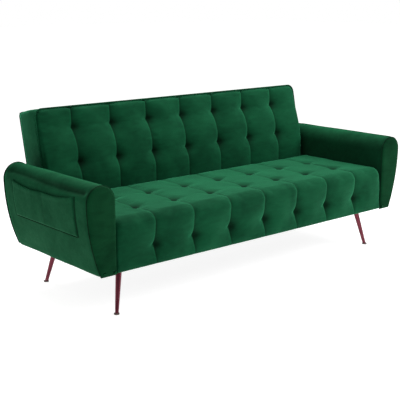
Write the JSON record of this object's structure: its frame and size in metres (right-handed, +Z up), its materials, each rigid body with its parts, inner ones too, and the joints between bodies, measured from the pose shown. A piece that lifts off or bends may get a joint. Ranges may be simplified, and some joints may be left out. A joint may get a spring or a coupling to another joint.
{
  "type": "futon sofa bed",
  "caption": "Velvet sofa bed with a channel-tufted seat and back, rounded arms with side pockets, splayed tapered legs, and a back that folds flat on ratchet hinges.",
  "frame": {"origin": "on the floor, under the middle of the upright sofa's bounding box", "axes": "+X along the sofa's length towards the viewer's right as seen from the front, the front faces -Y, +Z up"},
  "size_m": [2.103, 0.82, 0.852],
  "materials": {
    "velvet": "deep emerald green velvet, short soft pile",
    "underside_cloth": "black non-woven lining",
    "spring_felt": "grey needled felt",
    "leg_metal": "rose copper lacquer over steel tube",
    "glide_plastic": "dark brown moulded glide",
    "spring_steel": "drawn spring wire",
    "zinc_fasteners": "zinc plated",
    "hinge_steel": "zinc plated pressed steel",
    "plywood": "unfinished poplar plywood",
    "pine": "unfinished planed pine"
  },
  "bodies": {
    "base": {"arm_bolts": "zinc_fasteners", "arm_cover_left": "velvet", "arm_cover_right": "velvet", "arm_end_formers_left": "plywood", "arm_end_formers_right": "plywood", "arm_front_panel_left": "velvet", "arm_front_panel_right": "velvet", "arm_inner_board_left": "plywood", "arm_inner_board_right": "plywood", "arm_pocket_left": "velvet", "arm_pocket_right": "velvet", "arm_rear_panel_left": "velvet", "arm_rear_panel_right": "velvet", "arm_spacer_left": "plywood", "arm_spacer_right": "plywood", "arm_top_rail_left": "pine", "arm_top_rail_right": "pine", "base_front_rail": "pine", "base_rear_rail": "pine", "base_side_rail_left": "pine", "base_side_rail_right": "pine", "dust_cover": "underside_cloth", "foot_glides": "glide_plastic", "leg_front_left": "leg_metal", "leg_front_right": "leg_metal", "leg_rear_left": "leg_metal", "leg_rear_right": "leg_metal", "leg_screws": "zinc_fasteners", "pawl_springs": "spring_steel", "seat_centre_board": "pine", "seat_cushion": "velvet", "seat_felt": "spring_felt", "seat_front_board": "pine", "seat_hinge_bolts": "zinc_fasteners", "seat_hinge_leaf_left": "hinge_steel", "seat_hinge_leaf_right": "hinge_steel", "seat_rear_board": "pine", "seat_side_board_left": "pine", "seat_side_board_right": "pine", "seat_spring_clips": "zinc_fasteners", "seat_springs": "spring_steel"},
    "backrest": {"back_bottom_rail": "pine", "back_centre_rail": "pine", "back_cushion": "velvet", "back_hinge_bolts": "zinc_fasteners", "back_hinge_leaf_left": "hinge_steel", "back_hinge_leaf_right": "hinge_steel", "back_rear_panel": "velvet", "back_side_rail_left": "pine", "back_side_rail_right": "pine", "back_spring_clips": "zinc_fasteners", "back_springs": "spring_steel", "back_top_rail": "pine", "hinge_pin_left": "hinge_steel", "hinge_pin_right": "hinge_steel", "ratchet_left": "hinge_steel", "ratchet_right": "hinge_steel"},
    "pawl_left": {"pawl_left": "hinge_steel"},
    "pawl_right": {"pawl_right": "hinge_steel"}
  },
  "joints": [
    {"name": "backrest_recline", "type": "hinge", "parent": "base", "child": "backrest", "pos_m": [0, 0.24366, 0.361], "axis": [-1, 0, 0], "range_deg": [-8, 78]},
    {"name": "pawl_left_lift", "type": "hinge", "parent": "base", "child": "pawl_left", "pos_m": [-0.8826, 0.18366, 0.386], "axis": [-1, 0, 0], "range_deg": [0, 12], "stiffness_Nm_per_rad": 0.05, "springref_deg": -11.46},
    {"name": "pawl_right_lift", "type": "hinge", "parent": "base", "child": "pawl_right", "pos_m": [0.8826, 0.18366, 0.386], "axis": [-1, 0, 0], "range_deg": [0, 12], "stiffness_Nm_per_rad": 0.05, "springref_deg": -11.46}
  ]
}
